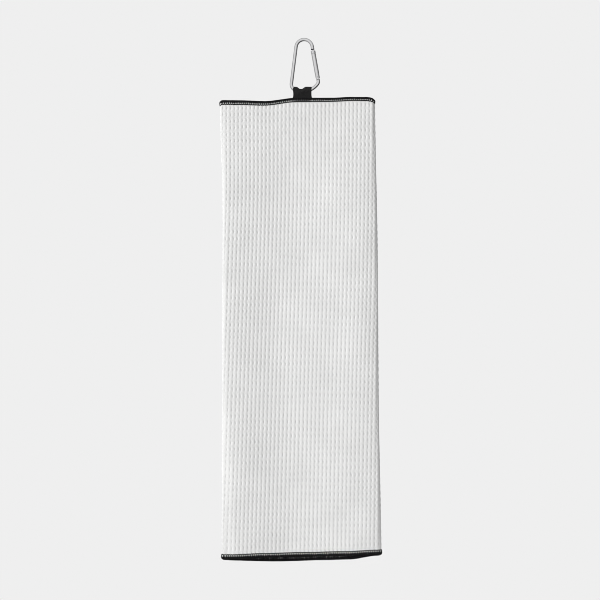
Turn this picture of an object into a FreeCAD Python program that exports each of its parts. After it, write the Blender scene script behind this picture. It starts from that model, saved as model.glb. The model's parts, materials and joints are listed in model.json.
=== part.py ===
"""Waffle-weave golf towel, folded in three, on a black tape loop and a small snap hook.

Millimetres. +X is to the right, the front faces -Y, +Z is up, and the towel hangs.
The origin is the crown of the hook's inner edge, where a bag ring bears.
"""
import FreeCAD, Part
import math
import os

import Sketcher

SIZES = [
    # snap hook
    ("wire_diameter", 3.8),
    ("crown_radius", 9.0),
    ("spine_lean", 7.2),
    ("gate_lean", 10.0),
    ("spine_corner_radius", 7.0),
    ("hinge_corner_radius", 4.5),
    ("bar_radius", 21.0),
    ("bar_middle", -2.0),
    ("bar_drop", 55.5),
    ("nose_straight", 3.9),
    ("nose_gap", 1.1),
    # gate
    ("gate_diameter", 5.0),
    ("gate_reach", 29.4),
    ("collar_diameter", 5.4),
    ("collar_length", 3.0),
    ("gate_bore_diameter", 3.4),
    ("gate_bore_depth", 13.5),
    ("fork_slot_width", 1.9),
    ("fork_slot_top", 3.2),
    ("latch_slot_width", 1.5),
    ("latch_slot_depth", 3.9),
    ("shoulder_clearance", 0.2),
    # tang, tongue and pins
    ("tang_thickness", 1.6),
    ("tang_top", 1.8),
    ("tongue_thickness", 1.2),
    ("tongue_inner", 1.3),
    ("tongue_outer", 1.7),
    ("tongue_length", 3.2),
    ("notch_height", 1.24),
    ("latch_pin_diameter", 1.0),
    ("latch_pin_drop", 1.7),
    ("latch_pin_length", 5.3),
    ("hinge_pin_diameter", 1.2),
    ("hinge_pin_length", 5.3),
    ("hinge_clearance", 0.03),
    ("pin_edge_round", 0.15),
    # plunger and spring
    ("plunger_diameter", 3.2),
    ("plunger_seat_gap", 0.05),
    ("plunger_head_length", 2.2),
    ("spigot_diameter", 1.8),
    ("spigot_length", 1.2),
    ("spring_coil_radius", 1.3),
    ("spring_wire_diameter", 0.4),
    ("spring_turns", 7.0),
    # tape loop
    ("tape_width", 20.1),
    ("tape_thickness", 0.8),
    ("tape_left", -12.0),
    ("tape_bar_clearance", 0.3),
    ("tape_crown_drop", 50.6),
    ("tape_join_drop", 61.2),
    ("tape_tail_drop", 71.5),
    # folded cloth
    ("cloth_side", 508.0),
    ("cloth_thickness", 1.6),
    ("cloth_top_drop", 63.1),
    ("left_fold_middle", -89.0),
    ("front_flat", 167.6),
    ("front_layer", -2.2),
    ("inner_layer", 2.2),
    ("rear_layer", 4.9),
    ("rear_longer", 2.0),
    # edge sewing
    ("overlock_depth", 3.9),
    ("overlock_proud", 0.4),
    ("overlock_wrap", 0.6),
    ("needle_gap", 0.2),
    ("needle_width", 0.6),
    ("needle_proud", 0.25),
    ("corner_gap", 0.05),
    # bartack
    ("bartack_stitches", 9.0),
    ("bartack_pitch", 2.0),
    ("bartack_thread", 0.4),
    ("bartack_drop", 65.4),
]

document = FreeCAD.newDocument("GolfTowel")
sheet = document.addObject("Spreadsheet::Sheet", "Sizes")
pieces = []


def fill_sheet():
    for row, (alias, value) in enumerate(SIZES, start=1):
        sheet.set(f"A{row}", alias)
        sheet.set(f"B{row}", str(value))
        sheet.setAlias(f"B{row}", alias)
    document.recompute()


def size(alias):
    return float(sheet.get(alias))


def bind(item, **expressions):
    """Each keyword is a property, with __ for a dot, and its expression in the sheet's names."""
    for name, expression in expressions.items():
        item.setExpression(name.replace("__", "."), expression)


def piece(item, label):
    item.Label = label
    pieces.append(item)
    return item


# ---------------------------------------------------------------- the hook's centreline


def unit(degrees):
    return FreeCAD.Vector(math.cos(math.radians(degrees)), math.sin(math.radians(degrees)), 0)


def ring_path():
    """Centres and tangent points of the hook's wire, in the plane of X and Z (as sketch x and y).

    The crown arc runs into two leaning sides. Each side ends in a corner arc,
    and both corners meet the wide, shallow bar arc from inside.
    """
    crown = FreeCAD.Vector(0, size("wire_diameter") / 2 - size("crown_radius"), 0)
    bar = FreeCAD.Vector(size("bar_middle"), size("bar_radius") - size("bar_drop"), 0)
    path = {"crown": crown, "bar": bar}
    sides = [
        ("spine", 180 - size("spine_lean"), size("spine_corner_radius")),
        ("hinge", size("gate_lean"), size("hinge_corner_radius")),
    ]
    for side, outward_angle, corner_radius in sides:
        outward = unit(outward_angle)
        down = unit(outward_angle + 90) if side == "spine" else unit(outward_angle - 90)
        side_top = crown + outward * size("crown_radius")
        start = side_top - outward * corner_radius
        offset = start - bar
        along = offset.dot(down)
        reach = size("bar_radius") - corner_radius
        travel = -along + math.sqrt(along**2 - offset.dot(offset) + reach**2)
        corner = start + down * travel
        path[side + "_side_top"] = side_top
        path[side + "_down"] = down
        path[side + "_outward"] = outward
        path[side + "_corner"] = corner
        path[side + "_corner_top"] = corner + outward * corner_radius
        path[side + "_corner_end"] = bar + (corner - bar) * (size("bar_radius") / reach)
    return path


def hinge_point(path):
    drop = size("nose_straight") + size("nose_gap") + size("gate_reach")
    return path["hinge_side_top"] + path["hinge_down"] * drop


# ---------------------------------------------------------------- sketch helpers


def new_body(name):
    return document.addObject("PartDesign::Body", name)


def origin_plane(body, role):
    return next(item for item in body.Origin.OriginFeatures if item.Role == role)


def new_sketch(body, name, role):
    sketch = body.newObject("Sketcher::SketchObject", name)
    sketch.AttachmentSupport = (origin_plane(body, role), [""])
    sketch.MapMode = "FlatFace"
    return sketch


def chain(sketch, segments, closed=False):
    """Adds lines and arcs that follow one another, and ties each end to the next start.

    A line is (start, end). An arc is (centre, radius, start angle, end angle), in degrees,
    and runs clockwise when its end angle is the smaller.
    """
    ends = []
    for segment in segments:
        if len(segment) == 2:
            index = sketch.addGeometry(Part.LineSegment(segment[0], segment[1]))
            ends.append((index, 1, 2))
            continue
        centre, radius, first, last = segment
        low, high = sorted((first, last))
        circle = Part.Circle(centre, FreeCAD.Vector(0, 0, 1), radius)
        arc = Part.ArcOfCircle(circle, math.radians(low), math.radians(high))
        index = sketch.addGeometry(arc)
        ends.append((index, 1, 2) if first < last else (index, 2, 1))
    followers = ends[1:] + (ends[:1] if closed else [])
    for current, following in zip(ends, followers):
        joint = Sketcher.Constraint("Coincident", current[0], current[2], following[0], following[1])
        sketch.addConstraint(joint)
    return ends


def polygon(sketch, points):
    corners = [FreeCAD.Vector(x, y, 0) for x, y in points]
    return chain(sketch, list(zip(corners, corners[1:] + corners[:1])), closed=True)


def circle(sketch, x, y, diameter_expression):
    """A circle whose diameter follows the sheet."""
    index = sketch.addGeometry(Part.Circle(FreeCAD.Vector(x, y, 0), FreeCAD.Vector(0, 0, 1), 1))
    sketch.addConstraint(Sketcher.Constraint("DistanceX", -1, 1, index, 3, x))
    sketch.addConstraint(Sketcher.Constraint("DistanceY", -1, 1, index, 3, y))
    number = sketch.addConstraint(Sketcher.Constraint("Diameter", index, 2.0))
    sketch.renameConstraint(number, "diameter")
    bind(sketch, Constraints__diameter=diameter_expression)
    return index


def block(body, name, sketch, thickness_expression, kind="PartDesign::Pad"):
    """A pad or pocket, centred on its sketch plane."""
    feature = body.newObject(kind, name)
    feature.Profile = sketch
    feature.Midplane = True
    bind(feature, Length=thickness_expression)
    body.Tip = feature
    return feature


def pocket(body, name, sketch, width_expression):
    document.recompute()
    before = body.Shape.Volume
    feature = block(body, name, sketch, width_expression, "PartDesign::Pocket")
    document.recompute()
    if not body.Shape.Volume < before - 1e-6:
        raise RuntimeError(f"{name} cuts nothing")
    return feature


def spin(body, name, sketch):
    feature = body.newObject("PartDesign::Revolution", name)
    feature.Profile = sketch
    feature.ReferenceAxis = (sketch, ["V_Axis"])
    feature.Angle = 360
    body.Tip = feature
    return feature


def in_gate_frame(path, across, along):
    """A point of the gate's own frame (origin at the hinge, along the gate) in the ring's plane."""
    return hinge_point(path) + path["hinge_outward"] * across - path["hinge_down"] * along


def place_in_gate(item, path):
    """The gate's frame: origin at the hinge pin, +Z up the gate, leaning to the left."""
    hinge = hinge_point(path)
    turn = FreeCAD.Rotation(FreeCAD.Vector(0, 1, 0), -size("gate_lean"))
    item.Placement = FreeCAD.Placement(FreeCAD.Vector(hinge.x, 0, hinge.y), turn)


# ---------------------------------------------------------------- snap hook


def carabiner_body(path):
    """Bent wire, from the nose over the crown, down the spine and along the bar to the hinge tang."""
    body = new_body("CarabinerBody")
    section = new_sketch(body, "WireSection", "YZ_Plane")
    circle(section, 0, size("wire_diameter") / 2, "Sizes.wire_diameter")

    crown_radius = size("crown_radius")
    spine_angle = 180 - size("spine_lean")
    spine_corner_end = path["spine_corner_end"] - path["bar"]
    hinge_corner_end = path["hinge_corner_end"] - path["bar"]
    spine_end_angle = math.degrees(math.atan2(spine_corner_end.y, spine_corner_end.x)) + 360
    hinge_end_angle = math.degrees(math.atan2(hinge_corner_end.y, hinge_corner_end.x)) + 360
    shoulder_drop = size("gate_diameter") / 2 + size("shoulder_clearance")
    shoulder = in_gate_frame(path, 0, -shoulder_drop)

    long_way = new_sketch(body, "LongWay", "XZ_Plane")
    chain(long_way, [
        (path["crown"], crown_radius, 90, spine_angle),
        (path["spine_side_top"], path["spine_corner_top"]),
        (path["spine_corner"], size("spine_corner_radius"), spine_angle, spine_end_angle),
        (path["bar"], size("bar_radius"), spine_end_angle, hinge_end_angle),
        (path["hinge_corner"], size("hinge_corner_radius"), hinge_end_angle, 360 + size("gate_lean")),
        (path["hinge_corner_top"], shoulder),
    ])
    number = long_way.addConstraint(Sketcher.Constraint("Radius", 3, size("bar_radius")))
    long_way.renameConstraint(number, "bar_radius")
    bind(long_way, Constraints__bar_radius="Sizes.bar_radius")

    short_way = new_sketch(body, "ShortWay", "XZ_Plane")
    nose = path["hinge_side_top"] + path["hinge_down"] * size("nose_straight")
    chain(short_way, [
        (path["crown"], crown_radius, 90, size("gate_lean")),
        (path["hinge_side_top"], nose),
    ])
    document.recompute()
    for name, route in (("LongPipe", long_way), ("NosePipe", short_way)):
        pipe = body.newObject("PartDesign::AdditivePipe", name)
        pipe.Profile = section
        pipe.Spine = route
        body.Tip = pipe
        document.recompute()

    half = size("wire_diameter") / 2
    root = -shoulder_drop - 0.5
    tang_outline = [(-half, root), (half, root), (half, size("tang_top")), (-half, size("tang_top"))]
    tang = new_sketch(body, "TangOutline", "XZ_Plane")
    polygon(tang, [tuple(in_gate_frame(path, x, z))[:2] for x, z in tang_outline])
    block(body, "Tang", tang, "Sizes.tang_thickness")

    nose_end = size("gate_reach") + size("nose_gap")
    top = nose_end + 0.5
    tip = size("gate_reach") - size("tongue_length")
    notch_middle = size("gate_reach") - size("latch_pin_drop")
    notch_top = notch_middle + size("notch_height") / 2
    notch_low = notch_middle - size("notch_height") / 2
    notch_back = size("latch_pin_diameter") / 2 + 0.05
    inner = -size("tongue_inner")
    outer = size("tongue_outer")
    hook_outline = [
        (inner, top), (inner, notch_top), (notch_back, notch_top), (notch_back, notch_low),
        (inner, notch_low), (inner + 0.3, tip), (outer - 0.3, tip), (outer, tip + 0.5), (outer, top),
    ]
    tongue = new_sketch(body, "TongueOutline", "XZ_Plane")
    polygon(tongue, [tuple(in_gate_frame(path, x, z))[:2] for x, z in hook_outline])
    block(body, "Tongue", tongue, "Sizes.tongue_thickness")

    eye = new_sketch(body, "PinEye", "XZ_Plane")
    hinge = hinge_point(path)
    circle(eye, hinge.x, hinge.y, "Sizes.hinge_pin_diameter + 0.02")
    pocket(body, "PinHole", eye, "2 * Sizes.wire_diameter")
    return piece(body, "carabiner_body")


def carabiner_gate(path):
    """Tube with a blind bore for the spring, a fork at the hinge and a slotted collar at the nose."""
    body = new_body("CarabinerGate")
    radius = size("gate_diameter") / 2
    collar = size("collar_diameter") / 2
    bore = size("gate_bore_diameter") / 2
    top = size("gate_reach")
    collar_low = top - size("collar_length")
    bevel = collar - radius
    outline = new_sketch(body, "GateOutline", "XZ_Plane")
    polygon(outline, [
        (bore, -radius), (radius, -radius), (radius, collar_low - bevel), (collar, collar_low),
        (collar, top - 0.4), (collar - 0.4, top), (0, top), (0, size("gate_bore_depth")),
        (bore, size("gate_bore_depth")),
    ])
    spin(body, "GateTube", outline)

    rounding = new_sketch(body, "ForkRounding", "XZ_Plane")
    flat = 0.5
    side = math.sqrt(radius**2 - flat**2)
    far = radius + 1
    low_right = math.degrees(math.atan2(-flat, side)) + 360
    low_left = math.degrees(math.atan2(-flat, -side)) + 360
    chain(rounding, [
        (FreeCAD.Vector(0, 0, 0), radius, low_left, low_right),
        (FreeCAD.Vector(side, -flat, 0), FreeCAD.Vector(far, -flat, 0)),
        (FreeCAD.Vector(far, -flat, 0), FreeCAD.Vector(far, -far, 0)),
        (FreeCAD.Vector(far, -far, 0), FreeCAD.Vector(-far, -far, 0)),
        (FreeCAD.Vector(-far, -far, 0), FreeCAD.Vector(-far, -flat, 0)),
        (FreeCAD.Vector(-far, -flat, 0), FreeCAD.Vector(-side, -flat, 0)),
    ], closed=True)
    pocket(body, "ForkEnd", rounding, "2 * Sizes.gate_diameter")

    slots = [
        ("Fork", "fork_slot_width", -2 * radius, size("fork_slot_top")),
        ("Latch", "latch_slot_width", top - size("latch_slot_depth"), top + 1),
    ]
    for name, width, low, high in slots:
        half = size(width) / 2
        slot = new_sketch(body, name + "SlotOutline", "YZ_Plane")
        polygon(slot, [(-half, low), (half, low), (half, high), (-half, high)])
        pocket(body, name + "Slot", slot, "2 * Sizes.gate_diameter")

    holes = [
        ("Hinge", 0, "Sizes.hinge_pin_diameter + 2 * Sizes.hinge_clearance"),
        ("Latch", top - size("latch_pin_drop"), "Sizes.latch_pin_diameter"),
    ]
    for name, height, diameter in holes:
        hole = new_sketch(body, name + "HoleOutline", "XZ_Plane")
        circle(hole, 0, height, diameter)
        pocket(body, name + "Hole", hole, "2 * Sizes.gate_diameter")
    place_in_gate(body, path)
    return piece(body, "carabiner_gate")


def cross_pin(path, label, height, diameter, length):
    """A pin across the gate, with softened ends."""
    body = new_body("".join(word.capitalize() for word in label.split("_")))
    outline = new_sketch(body, body.Name + "Circle", "XZ_Plane")
    circle(outline, 0, height, diameter)
    shank = block(body, body.Name + "Shank", outline, length)
    document.recompute()
    ends = [f"Edge{number}" for number, edge in enumerate(shank.Shape.Edges, start=1) if edge.isClosed()]
    softened = body.newObject("PartDesign::Fillet", body.Name + "Ends")
    softened.Base = (shank, ends)
    bind(softened, Radius="Sizes.pin_edge_round")
    body.Tip = softened
    place_in_gate(body, path)
    return piece(body, label)


def gate_plunger(path):
    """Headed plunger that bears on the tang and carries the spring on its spigot."""
    body = new_body("GatePlunger")
    outline = new_sketch(body, "PlungerOutline", "XZ_Plane")
    low = size("tang_top") + size("plunger_seat_gap")
    shoulder = low + size("plunger_head_length")
    top = shoulder + size("spigot_length")
    radius = size("plunger_diameter") / 2
    spigot = size("spigot_diameter") / 2
    bevel = 0.25
    polygon(outline, [
        (0, low), (radius - bevel, low), (radius, low + bevel), (radius, shoulder),
        (spigot, shoulder), (spigot, top), (0, top),
    ])
    spin(body, "PlungerTurned", outline)
    place_in_gate(body, path)
    return piece(body, "gate_plunger")


def gate_spring(path):
    """Coil between the plunger's shoulder and the end of the bore."""
    wire = size("spring_wire_diameter")
    low = size("tang_top") + size("plunger_seat_gap") + size("plunger_head_length")
    first = low + wire / 2 + 0.05
    last = size("gate_bore_depth") - wire / 2 - 0.05
    helix = document.addObject("Part::Helix", "SpringLine")
    bind(helix, Radius="Sizes.spring_coil_radius")
    helix.Height = last - first
    helix.Pitch = (last - first) / size("spring_turns")
    helix.Placement.Base = FreeCAD.Vector(0, 0, first)
    ring = document.addObject("Part::Circle", "SpringSection")
    bind(ring, Radius="Sizes.spring_wire_diameter / 2")
    rise = math.degrees(math.atan2(helix.Pitch.Value, 2 * math.pi * size("spring_coil_radius")))
    turn = FreeCAD.Rotation(FreeCAD.Vector(1, 0, 0), 90 + rise)
    ring.Placement = FreeCAD.Placement(FreeCAD.Vector(size("spring_coil_radius"), 0, first), turn)
    document.recompute()
    coil = document.addObject("Part::Sweep", "GateSpring")
    coil.Sections = [ring]
    coil.Spine = (helix, [])
    coil.Solid = True
    coil.Frenet = True
    place_in_gate(coil, path)
    return piece(coil, "gate_spring")


# ---------------------------------------------------------------- tape loop


def hanging_loop():
    """Woven tape folded over the bar, its two tails laid together behind the front layer."""
    body = new_body("HangingLoop")
    inner = size("wire_diameter") / 2 + size("tape_bar_clearance")
    outer = inner + size("tape_thickness")
    tail = size("tape_thickness")
    crown = -size("tape_crown_drop")
    bar = -size("bar_drop")
    join = -size("tape_join_drop")
    end = -size("tape_tail_drop")
    point = FreeCAD.Vector
    outline = new_sketch(body, "TapeOutline", "YZ_Plane")
    chain(outline, [
        (point(0, crown, 0), outer, 0, 180),
        (point(-outer, crown, 0), point(-outer, bar, 0)),
        (point(-outer, bar, 0), point(-tail, join, 0)),
        (point(-tail, join, 0), point(-tail, end, 0)),
        (point(-tail, end, 0), point(tail, end, 0)),
        (point(tail, end, 0), point(tail, join, 0)),
        (point(tail, join, 0), point(outer, bar, 0)),
        (point(outer, bar, 0), point(outer, crown, 0)),
    ], closed=True)
    chain(outline, [
        (point(0, crown, 0), inner, 0, 180),
        (point(-inner, crown, 0), point(-inner, bar, 0)),
        (point(-inner, bar, 0), point(0, join + tail / 2, 0)),
        (point(0, join + tail / 2, 0), point(inner, bar, 0)),
        (point(inner, bar, 0), point(inner, crown, 0)),
    ], closed=True)
    tape = body.newObject("PartDesign::Pad", "Tape")
    tape.Profile = outline
    bind(tape, Length="Sizes.tape_width")
    body.Tip = tape
    bind(body, Placement__Base__x="Sizes.tape_left")
    return piece(body, "hanging_loop")


# ---------------------------------------------------------------- folded cloth and its edges

CLOTH_TOP = "-Sizes.cloth_top_drop"
CLOTH_LOW = "(-Sizes.cloth_top_drop - Sizes.cloth_side)"
LEFT_FOLD = "Sizes.left_fold_middle"
RIGHT_FOLD = "(Sizes.left_fold_middle + Sizes.front_flat)"
IN_FOLDS = "pi * (Sizes.inner_layer + Sizes.rear_layer - 2 * Sizes.front_layer) / 2"
EACH_BEHIND = f"(Sizes.cloth_side - Sizes.front_flat - {IN_FOLDS}) / 2"
INNER_FLAT = f"({EACH_BEHIND} - Sizes.rear_longer)"
REAR_FLAT = f"({EACH_BEHIND} + Sizes.rear_longer)"


def slab(name, x, y, z, length, width, height):
    """A box whose corner and sides are expressions."""
    item = document.addObject("Part::Box", name)
    bind(item, Length=length, Width=width, Height=height)
    bind(item, Placement__Base__x=x, Placement__Base__y=y, Placement__Base__z=z)
    return item


def half_tube(name, side, layer, proud, low, height):
    """The fold that joins the front layer to another, as a half tube on the left or the right."""
    middle_x = LEFT_FOLD if side == "left" else RIGHT_FOLD
    middle_y = f"(Sizes.front_layer + Sizes.{layer}) / 2"
    middle_radius = f"(Sizes.{layer} - Sizes.front_layer) / 2"
    half_thickness = f"(Sizes.cloth_thickness / 2 + {proud})"
    rods = []
    for part, sign in (("Outside", "+"), ("Inside", "-")):
        rod = document.addObject("Part::Cylinder", name + part)
        bind(rod, Radius=f"{middle_radius} {sign} {half_thickness}", Height=height, Angle="180")
        rod.Placement.Rotation = FreeCAD.Rotation(FreeCAD.Vector(0, 0, 1), 90 if side == "left" else -90)
        bind(rod, Placement__Base__x=middle_x, Placement__Base__y=middle_y, Placement__Base__z=low)
        rods.append(rod)
    fold = document.addObject("Part::Cut", name)
    fold.Base = rods[0]
    fold.Tool = rods[1]
    return fold


def folded_strip(name, proud, wrap, low, height):
    """A band right round the folded cloth: three layers and two folds.

    proud is how far it stands off each face of the cloth, wrap how far it passes the side edges.
    """
    thickness = f"(Sizes.cloth_thickness + 2 * {proud})"
    inner_flat = f"({INNER_FLAT} + {wrap})"
    rear_flat = f"({REAR_FLAT} + {wrap})"
    layers = [
        ("Front", LEFT_FOLD, "Sizes.front_layer", "Sizes.front_flat"),
        ("Inner", LEFT_FOLD, "Sizes.inner_layer", inner_flat),
        ("Rear", f"{RIGHT_FOLD} - {rear_flat}", "Sizes.rear_layer", rear_flat),
    ]
    parts = [
        slab(name + part, x, f"{y} - {thickness} / 2", low, length, thickness, height)
        for part, x, y, length in layers
    ]
    parts.append(half_tube(name + "LeftFold", "left", "inner_layer", proud, low, height))
    parts.append(half_tube(name + "RightFold", "right", "rear_layer", proud, low, height))
    strip = document.addObject("Part::MultiFuse", name)
    strip.Shapes = parts
    strip.Refine = True
    return strip


def cut_by(name, base, tool):
    item = document.addObject("Part::Cut", name)
    item.Base = base
    item.Tool = tool
    return item


def towel_cloth():
    """One square sheet, its left third folded behind the middle and its right third behind that."""
    return piece(folded_strip("TowelCloth", "0", "0", CLOTH_LOW, "Sizes.cloth_side"), "towel_cloth")


def cloth_again(name):
    return folded_strip(name, "0", "0", CLOTH_LOW, "Sizes.cloth_side")


def level_edge(side):
    """Looper threads that wrap the top or bottom edge, and the needle thread beside them."""
    name = side.capitalize()
    sleeve_height = "(Sizes.overlock_depth + Sizes.overlock_wrap)"
    needle_reach = "(Sizes.overlock_depth + Sizes.needle_gap + Sizes.needle_width)"
    if side == "top":
        sleeve_low = f"{CLOTH_TOP} - Sizes.overlock_depth"
        needle_low = f"{CLOTH_TOP} - {needle_reach}"
    else:
        sleeve_low = f"{CLOTH_LOW} - Sizes.overlock_wrap"
        needle_low = f"{CLOTH_LOW} + {needle_reach} - Sizes.needle_width"
    wrap = "Sizes.overlock_wrap"
    sleeve = folded_strip(name + "Sleeve", "Sizes.overlock_proud", wrap, sleeve_low, sleeve_height)
    wrapped = cut_by(name + "Overlock", sleeve, cloth_again(name + "ClothInSleeve"))
    piece(wrapped, side + "_edge_overlock")
    line = folded_strip(name + "Line", "Sizes.needle_proud", "0", needle_low, "Sizes.needle_width")
    thread = cut_by(name + "Needle", line, cloth_again(name + "ClothInLine"))
    piece(thread, side + "_needle_thread")


def upright_band(name, layer, proud, band, core, inset):
    """Thread on both faces of one layer. band and core are (x, width), of the thread and the cloth in it."""
    thickness = f"(Sizes.cloth_thickness + 2 * {proud})"
    low = f"{CLOTH_LOW} + {inset}"
    height = f"Sizes.cloth_side - 2 * {inset}"
    outside = slab(name + "Band", band[0], f"{layer} - {thickness} / 2", low, band[1], thickness, height)
    inside_y = f"{layer} - Sizes.cloth_thickness / 2"
    inside = slab(name + "Core", core[0], inside_y, low, core[1], "Sizes.cloth_thickness", height)
    return cut_by(name, outside, inside)


def upright_edge(side):
    """The same sewing along a side edge: the left edge ends the inner layer, the right edge the rear one."""
    name = side.capitalize()
    depth = "Sizes.overlock_depth"
    wrap = "Sizes.overlock_wrap"
    width = "Sizes.needle_width"
    needle_start = f"({depth} + Sizes.needle_gap)"
    if side == "left":
        layer = "Sizes.inner_layer"
        edge = f"({LEFT_FOLD} + {INNER_FLAT})"
        sleeve_x = core_x = f"{edge} - {depth}"
        needle_x = f"{edge} - {needle_start} - {width}"
    else:
        layer = "Sizes.rear_layer"
        edge = f"({RIGHT_FOLD} - {REAR_FLAT})"
        sleeve_x = f"{edge} - {wrap}"
        core_x = edge
        needle_x = f"{edge} + {needle_start}"
    inset = f"({needle_start} + {width} + Sizes.corner_gap)"
    sleeve = (sleeve_x, f"({depth} + {wrap})")
    overlock = upright_band(
        name + "Overlock", layer, "Sizes.overlock_proud", sleeve, (core_x, depth), inset)
    piece(overlock, side + "_edge_overlock")
    line = (needle_x, width)
    needle = upright_band(name + "Needle", layer, "Sizes.needle_proud", line, line, inset)
    piece(needle, side + "_needle_thread")


def loop_bartack():
    """Row of lockstitches through the top edge's sewing, the front layer and both tails of the tape."""
    count = int(size("bartack_stitches"))
    thread = "Sizes.bartack_thread"
    front = "(Sizes.front_layer - Sizes.cloth_thickness / 2 - Sizes.overlock_proud)"
    back = "Sizes.tape_thickness"
    row_left = f"(Sizes.tape_left + Sizes.tape_width / 2 - Sizes.bartack_pitch * {(count - 1) / 2})"
    row_length = f"(Sizes.bartack_pitch * {count - 1} + {thread})"
    low = f"-Sizes.bartack_drop - {thread} / 2"
    half = f"{thread} / 2"
    parts = [
        slab("BartackFront", f"{row_left} - {half}", f"{front} - {half}", low, row_length, half, thread),
        slab("BartackBack", f"{row_left} - {half}", back, low, row_length, "0.15", thread),
    ]
    for number in range(count):
        x = f"{row_left} - {half} + Sizes.bartack_pitch * {number}"
        depth = f"{back} - {front}"
        parts.append(slab(f"BartackLeg{number + 1}", x, front, low, thread, depth, thread))
    row = document.addObject("Part::MultiFuse", "LoopBartack")
    row.Shapes = parts
    row.Refine = True
    return piece(row, "loop_bartack")


# ---------------------------------------------------------------- the whole object


def build():
    fill_sheet()
    path = ring_path()
    carabiner_body(path)
    carabiner_gate(path)
    hinge_length = "Sizes.hinge_pin_length"
    cross_pin(path, "gate_hinge_pin", 0, "Sizes.hinge_pin_diameter", hinge_length)
    latch_height = size("gate_reach") - size("latch_pin_drop")
    cross_pin(path, "gate_latch_pin", latch_height, "Sizes.latch_pin_diameter", "Sizes.latch_pin_length")
    gate_plunger(path)
    gate_spring(path)
    hanging_loop()
    towel_cloth()
    for side in ("top", "bottom"):
        level_edge(side)
    for side in ("left", "right"):
        upright_edge(side)
    loop_bartack()
    document.recompute()


def check():
    failed = [item.Name for item in document.Objects if {"Invalid", "Error"} & set(item.State)]
    if failed:
        raise RuntimeError(f"failed objects: {failed}")
    for item in pieces:
        if item.Shape.isNull() or not item.Shape.isValid():
            raise RuntimeError(f"{item.Label} has no valid shape")


def export():
    os.makedirs("parts", exist_ok=True)
    for item in pieces:
        item.Shape.exportStep(f"parts/{item.Label}.step")
        print(f"{item.Label:24s} solids {len(item.Shape.Solids):2d} volume {item.Shape.Volume:10.2f} mm3")


build()
check()
export()
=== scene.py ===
"""Golf towel: white waffle cloth folded in three, black overlocked edges, a tape loop and a snap hook."""
import json
import math
import random

import bpy
import numpy as np
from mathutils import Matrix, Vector


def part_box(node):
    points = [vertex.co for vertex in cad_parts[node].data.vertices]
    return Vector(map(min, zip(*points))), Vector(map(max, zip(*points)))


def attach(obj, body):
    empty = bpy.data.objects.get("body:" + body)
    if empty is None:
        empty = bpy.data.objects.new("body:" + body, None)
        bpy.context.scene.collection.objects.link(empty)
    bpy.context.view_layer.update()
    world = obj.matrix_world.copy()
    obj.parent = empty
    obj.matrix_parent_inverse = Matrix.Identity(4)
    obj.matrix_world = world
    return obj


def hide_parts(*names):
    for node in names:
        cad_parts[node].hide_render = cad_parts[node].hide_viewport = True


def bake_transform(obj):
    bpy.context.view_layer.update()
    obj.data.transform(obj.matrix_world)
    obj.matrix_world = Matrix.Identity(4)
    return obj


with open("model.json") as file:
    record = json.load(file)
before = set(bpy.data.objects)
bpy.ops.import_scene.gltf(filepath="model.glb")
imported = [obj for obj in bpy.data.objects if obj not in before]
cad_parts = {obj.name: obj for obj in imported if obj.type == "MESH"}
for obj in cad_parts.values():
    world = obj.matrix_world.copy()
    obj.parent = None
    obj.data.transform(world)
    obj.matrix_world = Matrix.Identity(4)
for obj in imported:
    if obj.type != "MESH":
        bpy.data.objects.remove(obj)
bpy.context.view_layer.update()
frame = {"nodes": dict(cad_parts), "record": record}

MM = 0.001
rng = random.Random(11)
weave_noise = np.random.default_rng(5)

# ---------------------------------------------------------------- the folded cloth's shape

SIDE = 508 * MM            # the square the towel is cut to
THICK = 1.6 * MM
HALF = THICK / 2
FRONT_Y = -2.2 * MM        # where the middle of each layer hangs, from front to back
INNER_Y = 2.2 * MM
REAR_Y = 4.9 * MM
REAR_LONGER = 2 * MM       # how much further the rear layer reaches than the inner one

cloth_lo, cloth_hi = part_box("towel_cloth")
TOP = cloth_hi.z
BOTTOM = TOP - SIDE

# the two folds: the cloth's middle turns round these centres, with these radii
LEFT_R = (INNER_Y - FRONT_Y) / 2
RIGHT_R = (REAR_Y - FRONT_Y) / 2
LEFT_X = cloth_lo.x + HALF + LEFT_R
RIGHT_X = cloth_hi.x - HALF - RIGHT_R
RIGHT_Y = (REAR_Y + FRONT_Y) / 2
FRONT_FLAT = RIGHT_X - LEFT_X
BEHIND = (SIDE - FRONT_FLAT - math.pi * (LEFT_R + RIGHT_R)) / 2

# distance along the cloth from its inner end to each change of direction
INNER_END = BEHIND - REAR_LONGER
FRONT_START = INNER_END + math.pi * LEFT_R
FRONT_END = FRONT_START + FRONT_FLAT
REAR_START = FRONT_END + math.pi * RIGHT_R


def ease(low, high, value):
    """0 below low, 1 above high, and smooth between them."""
    part = np.clip((value - low) / (high - low), 0, 1)
    return part * part * (3 - 2 * part)


def along(stops, value):
    """A smooth line through (place, height) stops."""
    result = np.full(np.shape(value), stops[0][1], float)
    for (low, before), (high, after) in zip(stops, stops[1:]):
        result = result + (after - before) * ease(low, high, value)
    return result


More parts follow.
